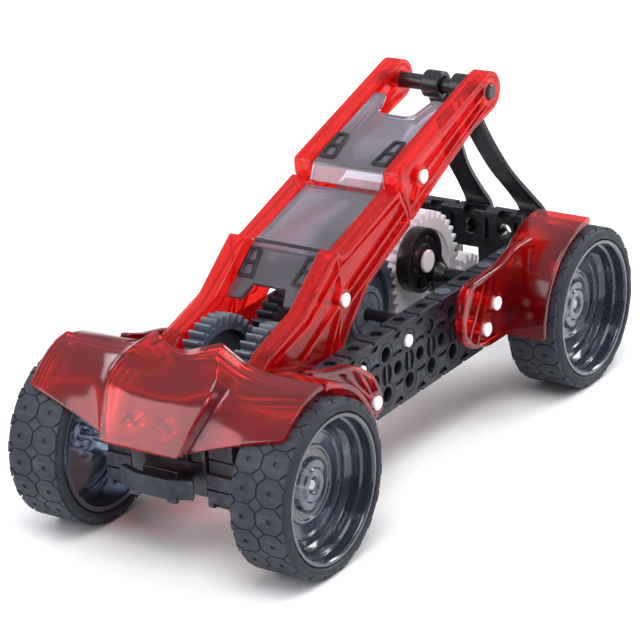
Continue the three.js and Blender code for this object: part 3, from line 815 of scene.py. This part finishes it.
STRUT_PATH = [  # share of the way across to the foot, y, z
    (0, 141, 93.6), (0.05, 145.6, 83), (0.5, 151.6, 69), (0.85, 160, 57.5), (1, 165.2, 50),
    (1, 165.8, 41.5),
]
STRUT_SECTION = [  # as shares of the half width and the thickness
    (-1, -0.55), (-0.86, -0.9), (0.86, -0.9), (1, -0.55), (1, 0.3), (0.8, 0.62), (0.34, 0.72),
    (0.24, 1.0), (-0.24, 1.0), (-0.34, 0.72), (-0.8, 0.62), (-1, 0.3),
]


def spline_point(points, t):
    """A point on a smooth curve through the given ones, t from 0 to 1."""
    last = len(points) - 1
    at = min(int(t * last), last - 1)
    f = t * last - at
    p = [Vector(points[max(0, min(last, at + k))]) for k in (-1, 0, 1, 2)]
    return 0.5 * (2 * p[1] + (p[2] - p[0]) * f + (2 * p[0] - 5 * p[1] + 4 * p[2] - p[3]) * f * f
                  + (3 * p[1] - p[0] - 3 * p[2] + p[3]) * f ** 3)


def strut(collar_x, foot_x):
    """A curved blade with a raised spine, from a collar on the top shaft down to its foot."""
    path = [(collar_x + (foot_x - collar_x) * share, y, z) for share, y, z in STRUT_PATH]
    rings, steps, thickness = [], 28, 1.5
    for i in range(steps + 1):
        t = i / steps
        ahead = spline_point(path, min(1, t + 0.01)) - spline_point(path, max(0, t - 0.01))
        out = Vector((0, ahead.z, -ahead.y)).normalized()
        half = 3.7 + 2.2 * (max(0.0, t - 0.5) * 2) ** 1.3
        at = spline_point(path, t)
        rings.append([at + Vector((u * half, 0, 0)) + out * (v * -thickness) for u, v in STRUT_SECTION])
    collar = tube((2.9, 4.4), about(collar_x, 3.1), TOP_SHAFT, 40, 0.5)
    bore = tube((CORE, 2.9), about(collar_x, 6), TOP_SHAFT, 40)
    return unite(carve(loft(rings), bore), collar)


settle(strut(-0.7, -1.5), "strut_middle", "black_plastic", "strut_centre")
settle(strut(9.4, 18.4), "strut_flank", "black_plastic", "strut_side")

# ---- front and rear of the chassis ----
CORNER_X = cad_span("corner_block_left", X)
CORNER_Y = (-12.4, -6.7)
CORNER_Z = cad_span("corner_block_left", Z)
WALL_X = cad_span("rear_cross_wall", X)
WALL_Y = tuple(y - FRONT_Y for y in cad_span("rear_cross_wall", Y))
WALL_Z = cad_span("rear_cross_wall", Z)


def corner_block():
    """An upper and a lower half; the lower one stands a little further forward."""
    middle = sum(CORNER_Z) / 2
    low = block(CORNER_X, CORNER_Y, (CORNER_Z[0], middle), 0.45)
    high = block((CORNER_X[0] + 0.5, CORNER_X[1] - 0.3), (CORNER_Y[0] + 0.9, CORNER_Y[1]),
                 (middle - 0.5, CORNER_Z[1]), 0.45)
    wide, narrow = (CORNER_X[0] - 1, CORNER_X[1] + 1), about(sum(CORNER_X) / 2, 2.6)
    cuts = [
        (wide, 1.6, (middle + 4, middle + 4.7)), (wide, 0.7, (middle - 5, middle - 4.3)),
        (narrow, 1.4, into(CORNER_Z[0], 1.6)), (narrow, 1.4, into(CORNER_Z[1], -1.8)),
    ]
    return carve(unite(low, high), *(block(x, into(CORNER_Y[0], deep), z, 0.1) for x, deep, z in cuts))


def cross_member():
    """The bar between the corner blocks, with a nose, two hood posts and a row of pockets."""
    bar = block(about(0, CORNER_X[0] - GAP), (-12.2, -6.9), (21, 37))
    nose = block(about(0, 6), (-16.2, -12), (24, 29), 0.3)
    posts = [block(about(x, 2.5), (-12.2, -7.2), (36, 50), 0.4) for x in (-7, 7)]
    pockets = [block(about(x, 2.2), (-13, -11.2), (31, 35.4), 0.2) for x in (-9.2, -3.1, 3.1, 9.2)]
    return carve(unite(bar, nose, *posts), *pockets)


def bumper():
    """Three flat faces, the middle one furthest forward, over a small rest under each end."""
    low, high = cad_span("front_bumper", Z)
    half = [(5, -18.6), (11.8, -16.6), (12.6, -18.2), (5.6, -21)]
    outline = half + [(-x, y) for x, y in reversed(half)]
    bar = plate(outline, (low, high - 1.4), turn=LYING, edge=0.5, steps=3)
    rests = [block(about(x, 1.6), (-20.4, -19), (low - 1.1, low + 1), 0.3) for x in (-6.5, 6.5)]
    return unite(bar, *rests)


def rear_wall():
    """The wall between the beams: a row of holes, finger notches and room for the pinion."""
    left, right, top = LANE[0] - 1.6, LANE[1] + 1.6, 37.6
    outline = [
        (WALL_X[0], WALL_Z[0]), (left, WALL_Z[0]), (left, top), (right, top), (right, WALL_Z[0]),
        (WALL_X[1], WALL_Z[0]), (WALL_X[1], WALL_Z[1]), (WALL_X[0], WALL_Z[1]),
    ]
    places = (-PITCH, 0, PITCH)
    holes = [ring_points(HOLE_R, x, SHAFT_Z + HALF, 24) for x in places]
    holes += [ring_points(HOLE_R, x, AXLE_Z + HALF, 24) for x in (-PITCH, PITCH)]
    wall = plate(outline, WALL_Y, holes, UPRIGHT, edge=0.5)
    cuts = [(about(x, 2.2), into(WALL_Y[0], 2.4), into(WALL_Z[1], -1.8)) for x in places]
    for x in (-1.5 * PITCH + 2, -HALF, HALF, 1.5 * PITCH - 2):
        for y in (into(WALL_Y[0], 0.9), into(WALL_Y[1], -0.9)):
            cuts.append((about(x, 0.7), y, (SHAFT_Z + 2.6, WALL_Z[1] - 2.4)))
    for x in about(0, HALF):
        cuts.append((about(x, 0.6), (WALL_Y[0] + 2.8, WALL_Y[1] + 1), into(WALL_Z[1], -0.9)))
    return carve(wall, *(block(x, y, z, 0.1) for x, y, z in cuts))


settle_pair(corner_block(), "corner", "slate_plastic", "corner_block")
settle(cross_member(), "front_member", "black_plastic", "front_cross_member")
settle(bumper(), "bumper", "slate_plastic", "front_bumper")
settle(rear_wall(), "wall_rear", "black_plastic", "rear_cross_wall")
for word, station in (("front", 5.5), ("rear", 8.5)):
    node = f"{word}_spacer"
    spacer = shaft_shape(2, cad_span(node, X), (station * PITCH, cad_middle(node, Z)))
    settle(spacer, f"spacer_{word}", "black_plastic", node)


# ---- pins and caps ----
def push_pin(face, shank, at):
    """A low domed head with a rounded rim, a shank and a chamfer at its end."""
    head, top, tip = 2.15, face + PIN_HEAD, face - shank
    profile = [
        (CORE, tip), (PIN_R - 0.5, tip), (PIN_R, tip + 0.7), (PIN_R, face + 0.3),
        (head - 0.25, face + 0.3), (head, face + 0.5), (head, face + 0.9), (head - 0.3, top - 0.08),
        (head * 0.6, top), (CORE, top + 0.04),
    ]
    return lathe(profile, at, 40)


RAIL_SEAT = (RAIL[1], RAIL[1] - RAIL[0] - 0.4)  # the face under a pin's head, its shank's length
BRACKET_SEAT = (BRACKET[1], 12.6)
PUSH_PINS = {  # piece: CAD node, seat, place
    "pin_rail_low": ("rail_pin_lower", RAIL_SEAT, LOWER_PIN),
    "pin_rail_high": ("rail_pin_upper", RAIL_SEAT, UPPER_PIN),
    "pin_arch": ("front_arch_pin", BRACKET_SEAT, FRONT_PINS[0]),
    "pin_fender_high": ("fender_pin_upper", BRACKET_SEAT, REAR_PINS[0]),
    "pin_fender_low": ("fender_pin_lower", BRACKET_SEAT, REAR_PINS[1]),
}
for stem, (node, seat, at) in PUSH_PINS.items():
    settle_pair(push_pin(*seat, at), stem, "white_plastic", node)
for word, station, radius in (("long", 6, 2.0), ("short", 4, 1.3)):
    start, end = BEAM[0] + 1, BEAM[1] + 0.5
    profile = [(CORE, start), (radius, start), (radius, end), (CORE, end + 0.2)]
    plug = lathe(soften(profile, 0.3), (station * PITCH, SHAFT_Z), 32)
    settle_pair(plug, f"beam_pin_{word}", "white_plastic")
for station in (8, 10, 11):
    cap = upright(2.5, BEAM_X, station * PITCH, (BEAM_Z[1] - 0.2, BEAM_Z[1] + 0.5), 0.25)
    settle_pair(cap, f"beam_cap_{station}", "grey_gear")

# ---- gears ----
BIG, REAR, SMALL = 36, 18, 12  # numbers of teeth
RIGHT_LANE = (-OUTER_LANE[1], -OUTER_LANE[0])
SHAFTS = {
    "front_shaft": (2 * PITCH, SHAFT_Z), "second_shaft": (4 * PITCH, SHAFT_Z),
    "third_shaft": (7 * PITCH, SHAFT_Z), "fourth_shaft": (10 * PITCH, SHAFT_Z),
    "rear_wheels": (WHEELBASE, AXLE_Z),
}


def meshed_phase(phase, teeth, other_teeth, direction):
    """The phase in degrees of a gear that meshes with one in the given direction from it."""
    offset = teeth * (phase - direction) / 360 + 0.5
    return direction + 180 - 360 / other_teeth * offset


def train_phases():
    """Each shaft's gear phase, worked out along the train from the second shaft."""
    third = meshed_phase(0, BIG, BIG, 0)
    fourth = meshed_phase(third, BIG, BIG, 0)
    at, to = SHAFTS["fourth_shaft"], SHAFTS["rear_wheels"]
    direction = math.degrees(math.atan2(to[1] - at[1], to[0] - at[0]))
    return {
        "front_shaft": meshed_phase(0, BIG, SMALL, 180), "second_shaft": 0, "third_shaft": third,
        "fourth_shaft": fourth, "rear_wheels": meshed_phase(fourth, BIG, REAR, direction),
    }


PHASES = train_phases()


def gear_outline(teeth, phase, at):
    """Straight-flanked teeth with cut tips, round the gear's middle."""
    pitch_r = teeth * MODULE / 2
    tip, root = pitch_r + 0.85 * MODULE, pitch_r - 1.25 * MODULE
    tooth = 2 * math.pi / teeth
    shape = [(root, -0.3), (pitch_r - 0.2 * MODULE, -0.23), (pitch_r + 0.35 * MODULE, -0.17), (tip, -0.1)]
    shape += [(r, -share) for r, share in reversed(shape)]
    points = []
    for i in range(teeth):
        middle = math.radians(phase) + i * tooth
        points += [(at[0] + r * math.cos(middle + s * tooth), at[1] + r * math.sin(middle + s * tooth))
                   for r, s in shape]
    return points


def dish(at, radii, deep, open_end):
    """A tool that cuts a round trough with sloping sides into a gear's face."""
    slope = 0.25
    inner, outer = radii
    profile = [(inner, open_end), (inner + slope, deep), (outer - slope, deep), (outer, open_end)]
    return lathe(profile, at, 64)


def bossed(shape, at, face, radius):
    """Adds a broad boss with a rim line to a gear's +X face."""
    boss = tube((1.95, radius), (face - 1.2, face + 2), at, 64, 0.35)
    line = tube((6.4, 6.9), (face + 1.6, face + 3), at, 64)
    return carve(unite(shape, boss), line)


def gear(teeth, body, lane, hub=4.4, web=1.6, rim=2.2, phase=None, boss=0.0):
    """A gear on its shaft; where there's room, both faces are dished down to a web."""
    at = SHAFTS[body]
    outline = gear_outline(teeth, PHASES[body] if phase is None else phase, at)
    shape = plate(outline, lane, [ring_points(1.95, *at, 20)], edge=0.22, steps=1)
    inside = teeth * MODULE / 2 - 1.25 * MODULE - rim
    if inside > hub + 1:
        low, high = about(sum(lane) / 2, web / 2)
        faces = [(high, lane[1] + 1), (low, lane[0] - 1)]
        shape = carve(shape, *(dish(at, (hub, inside), *face) for face in faces))
    return bossed(shape, at, lane[1], boss) if boss else shape


FRONT_PAIR = {"phase": 5, "hub": 5}
GEARS = {  # piece: CAD node, look, body, lane, teeth, shape
    "gear_front_left": ("front_gear_left", "grey_gear", "front_shaft", OUTER_LANE, BIG, FRONT_PAIR),
    "gear_front_right": ("front_gear_right", "grey_gear", "front_shaft", RIGHT_LANE, BIG, FRONT_PAIR),
    "gear_front_pinion": ("front_pinion", "grey_gear", "front_shaft", LANE, SMALL, {}),
    "gear_second": ("second_gear", "slate_plastic", "second_shaft", LANE, BIG, {}),
    "gear_third": ("third_gear", "grey_gear", "third_shaft", LANE, BIG, {"hub": 8.4, "boss": 8.8}),
    "gear_fourth": (
        "fourth_gear", "white_plastic", "fourth_shaft", LANE, BIG, {"hub": 5.4, "web": 4.0, "rim": 3.4}),
    "gear_rear_pinion": ("rear_pinion", "white_plastic", "rear_wheels", LANE, REAR, {"hub": 4}),
}
for name, (node, slot, body, lane, teeth, shape) in GEARS.items():
    settle(gear(teeth, body, lane, **shape), name, slot, node, body)
for word in ("front", "second", "third", "fourth"):
    node, body = f"{word}_gear_shaft", f"{word}_shaft"
    settle(shaft_shape(1.85, cad_span(node, X), SHAFTS[body]), f"{body}_bar", "black_plastic", node, body)

# ---- bearing bracket ----
DRUM = side_place("bracket_cap")
DRUM_R = 10.4
DRUM_X = (1.6, 6)


def gear_bracket():
    """A drum with a rim and a raised collar, a curved web and a long boss round the shaft."""
    (back, front), (y, z) = DRUM_X, DRUM
    at = SHAFTS["fourth_shaft"]
    sunk = front - 1.1
    drum = [
        (CORE, back), (DRUM_R, back), (DRUM_R, front), (DRUM_R - 1.2, front), (DRUM_R - 1.5, sunk),
        (5.6, sunk), (5.2, front), (CORE, front),
    ]
    outline = [
        (y + 2, z + 8), (y + 6.4, z + 5.6), (at[0] + 6, at[1] + 0.6), (at[0] + 4.4, at[1] - 4.6),
        (at[0] - 3, at[1] - 5), (y - 3, z - 8),
    ]
    web = plate(soften(outline, 2.2, 5), (back, front - 0.5), edge=0.5, steps=3)
    end = BEAM[0] - GAP
    boss = [(CORE, back), (4.6, back), (4.6, front), (2.9, front + 2.4), (2.9, end), (CORE, end)]
    shape = unite(lathe(soften(drum, 0.3, 2), DRUM, 80), web, lathe(soften(boss, 0.4), at, 48))
    return carve(shape, tube((CORE / 2, 2.1), (-2, 30), at))


def bracket_button():
    """A low white button in the middle of the drum."""
    start, end = cad_span("bracket_cap", X)
    profile = [
        (CORE, start), (3.3, start), (3.6, start + 0.3), (3.6, end - 0.35), (3.3, end - 0.08), (1.8, end),
        (CORE, end),
    ]
    return lathe(profile, DRUM, 48)


settle(gear_bracket(), "bracket_gear", "black_plastic", "gear_bracket")
settle(bracket_button(), "bracket_button", "white_plastic", "bracket_cap")

# ---- tyres ----
TREAD_REPEATS = 20  # round a tyre
TREAD_PITCH = 2 * math.pi * WHEEL_R / TREAD_REPEATS
TREAD_X = sum(TYRE) / 2
GROOVE_R = WHEEL_R - 0.42


def tread_repeat():
    """One repeat of the tread, laid flat: x across, y round the tyre, z outwards from its root."""
    between = TREAD_PITCH / 2
    hexagon = [
        (0.28, -1.75), (2.55, -3.8), (6.3, -3.8), (8.3, -1.9), (8.3, 1.9), (6.3, 3.8), (2.55, 3.8),
        (0.28, 1.75),
    ]
    diamond = [(0, between - 2.05), (2.15, between), (0, between + 2.05), (-2.15, between)]
    wedge = [(6.75, between), (8.5, between - 1.7), (8.5, between + 1.7)]
    depth = (-1.3, 0.0)
    shapes = [flat_plate(diamond, depth, edge=0.12, steps=0)]
    for side in (-1, 1):
        lug = flat_plate([(side * u, v) for u, v in hexagon], depth, edge=0.14, steps=0)
        dimple = flat_plate(ring_points(0.75, side * 4.4, 0, 12), into(0, -0.4), edge=0.05, steps=0)
        shapes.append(carve(lug, dimple))
        shapes.append(flat_plate([(side * u, v) for u, v in wedge], depth, edge=0.12, steps=0))
    return merged(shapes)


def wrapped_tread(wheel_y):
    """The flat repeat cut finely along its length, bent round the tyre and repeated."""
    flat = tread_repeat()
    work = bmesh.new()
    work.from_mesh(flat.data)
    cuts = 12
    for i in range(cuts + 1):
        level = -TREAD_PITCH / 2 + 1.5 * TREAD_PITCH * i / cuts
        bmesh.ops.bisect_plane(work, geom=work.verts[:] + work.edges[:] + work.faces[:],
                               plane_co=(0, level, 0), plane_no=(0, 1, 0))
    points = [tuple(v.co) for v in work.verts]
    work.verts.index_update()
    faces = [[v.index for v in f.verts] for f in work.faces]
    work.free()
    bpy.data.objects.remove(flat)
    all_points, all_faces = [], []
    for n in range(TREAD_REPEATS):
        all_faces += [[i + len(all_points) for i in f] for f in faces]
        for x, along, out in points:
            angle = (along + n * TREAD_PITCH) / WHEEL_R
            radius = WHEEL_R + out
            y, z = wheel_y + radius * math.cos(angle), AXLE_Z + radius * math.sin(angle)
            all_points.append((TREAD_X + x, y, z))
    return solid(all_points, all_faces)


def tyre(wheel_y):
    """A carcass with rounded shoulders and beads, and the raised tread on it."""
    inner, outer = TYRE
    bead = 22.05
    profile = [
        (bead, inner + 0.7), (22.7, inner), (23.6, inner), (24.7, inner + 0.7), (25.2, inner + 1.7),
        (GROOVE_R, inner + 2.6), (GROOVE_R, outer - 2.6), (25.2, outer - 1.7), (24.7, outer - 0.7),
        (23.7, outer - 0.05), (23.4, outer - 0.3), (23.1, outer), (22.5, outer), (bead, outer - 0.6),
    ]
    return merged([lathe(soften(profile, 0.35, 2), (wheel_y, AXLE_Z), 120), wrapped_tread(wheel_y)])


# ---- rims and axles ----
def rim(wheel_y):
    """A deep dish: lip, stepped barrel, a web with raised rings, and a hub with a cone."""
    start, end = cad_span("front_rim_left", X)
    back, web, raised = 37.4, 39, 39.5
    profile = [
        (2.2, start), (5.4, start), (5.4, back), (20.2, back), (20.2, start), (21.7, start),
        (21.7, start + 0.8), (21.2, start + 1.4), (21.2, end - 2.2), (21.7, end - 1.6), (21.7, end),
        (20.7, end), (20.3, end - 0.7), (20.3, end - 3.6), (19.5, end - 4.1), (19.5, end - 4.9),
        (19.9, end - 5.3),
        (19.6, 40.6), (18.4, web), (16.4, web), (16.1, raised), (15.2, raised), (14.9, web), (11.6, web),
        (11.3, raised), (10.4, raised), (10.1, web), (8, web), (7.2, 40.4), (5.2, 40.4), (4.6, 41),
        (2.8, 41), (2.2, 40.6),
    ]
    return lathe(soften(profile, 0.16, 2), (wheel_y, AXLE_Z), 112)


def axle(node, wheel_y):
    """A steel rod with a chamfer at each end."""
    start, end = cad_span(node, X)
    radius, chamfer = 1.85, 0.5
    profile = [
        (CORE, start), (radius - chamfer, start), (radius, start + chamfer), (radius, end - chamfer),
        (radius - chamfer, end), (CORE, end),
    ]
    return lathe(profile, (wheel_y, AXLE_Z), 32)


for word, wheel_y in (("front", 0), ("rear", WHEELBASE)):
    wheels = f"{word}_wheels"
    settle_pair(tyre(wheel_y), f"tyre_{word}", "tyre", f"{word}_tyre", wheels, angle=24)
    settle_pair(rim(wheel_y), f"rim_{word}", "rim_clear", f"{word}_rim", wheels, angle=24)
    settle(axle(f"{word}_axle", wheel_y), f"axle_{word}", "axle_steel", f"{word}_axle", wheels)

# ---- camera, floor and light ----
AZIMUTH, ELEVATION, ROLL = (math.radians(degrees) for degrees in (34.17, 21.61, -2.94))
CAMERA_AT = Vector((0.4542, -0.6781, 0.3642))
LENS = 163.1
LIGHTS = {  # place, size, watts
    "key": ((0.3, -0.5, 1.3), (0.8, 0.8), 13),
    "front": ((-0.78, -1.05, 0.7), (0.95, 0.9), 8.5),
    "left": ((-1.1, 0.2, 0.7), (0.7, 0.5), 4),
    "back": ((0.5, 1.1, 0.8), (0.9, 0.4), 11),
    "right": ((1.1, 0.2, 0.6), (0.5, 0.5), 2),
}
AIM = Vector((0, 0, 0.04))  # what every light points at
SKY = {0.0: (0.80, 0.81, 0.83), 0.12: (0.3, 0.31, 0.34), 0.45: (0.5, 0.51, 0.55), 1.0: (1.0, 1.0, 1.0)}


def add_camera():
    back = Vector((
        math.sin(AZIMUTH) * math.cos(ELEVATION),
        -math.cos(AZIMUTH) * math.cos(ELEVATION),
        math.sin(ELEVATION),
    ))
    level = Vector((math.cos(AZIMUTH), math.sin(AZIMUTH), 0))
    upward = back.cross(level)
    right = level * math.cos(ROLL) + upward * math.sin(ROLL)
    up = upward * math.cos(ROLL) - level * math.sin(ROLL)
    camera = linked(bpy.data.cameras.new("camera"), "camera")
    camera.data.lens = LENS
    camera.data.sensor_width = 36
    camera.data.clip_start = 0.05
    camera.data.clip_end = 50
    turn = Matrix((right, up, back)).transposed().to_4x4()
    turn.translation = CAMERA_AT
    camera.matrix_world = turn
    bpy.context.scene.camera = camera


def add_floor():
    reach = 6.0
    mesh = bpy.data.meshes.new("floor")
    corners = rectangle(about(0, reach), about(0, reach))
    mesh.from_pydata([(x, y, 0.0) for x, y in corners], [], [(0, 1, 2, 3)])
    kit = Nodes("floor")
    cloud = kit.remap(kit.noise(3, 3), 0.3, 0.7, 0.0, 1.0)
    shade = kit.mix(cloud, rgb(248, 248, 249), rgb(244, 245, 246))
    shader = kit.add("ShaderNodeBsdfPrincipled", {"Base Color": shade, "Roughness": 0.6})
    mesh.materials.append(kit.done(shader.outputs[0]))
    linked(mesh, "floor")


def add_light(name, at, size, watts):
    lamp = bpy.data.lights.new(name, "AREA")
    lamp.shape = "RECTANGLE"
    lamp.size, lamp.size_y = size
    lamp.energy = watts
    holder = linked(lamp, name)
    holder.location = at
    holder.rotation_euler = (AIM - Vector(at)).to_track_quat("-Z", "Y").to_euler()


def add_world():
    """Pale below the horizon, dark just above it, and paler again towards the top."""
    world = bpy.data.worlds.new("studio")
    bpy.context.scene.world = world
    world.use_nodes = True
    tree = world.node_tree
    background = tree.nodes["Background"]
    where = tree.nodes.new("ShaderNodeTexCoord")
    split = tree.nodes.new("ShaderNodeSeparateXYZ")
    ramp = tree.nodes.new("ShaderNodeValToRGB")
    tree.links.new(where.outputs["Generated"], split.inputs[0])
    tree.links.new(split.outputs["Z"], ramp.inputs["Fac"])
    tree.links.new(ramp.outputs["Color"], background.inputs["Color"])
    stops = ramp.color_ramp.elements
    for height, shade in SKY.items():
        there = {0.0: 0, 1.0: -1}.get(height)
        stop = stops.new(height) if there is None else stops[there]
        stop.color = (*shade, 1)
    background.inputs["Strength"].default_value = 0.75


add_camera()
add_floor()
add_world()
for name, (at, size, watts) in LIGHTS.items():
    add_light(name, at, size, watts)
bpy.context.scene.view_settings.view_transform = "Standard"
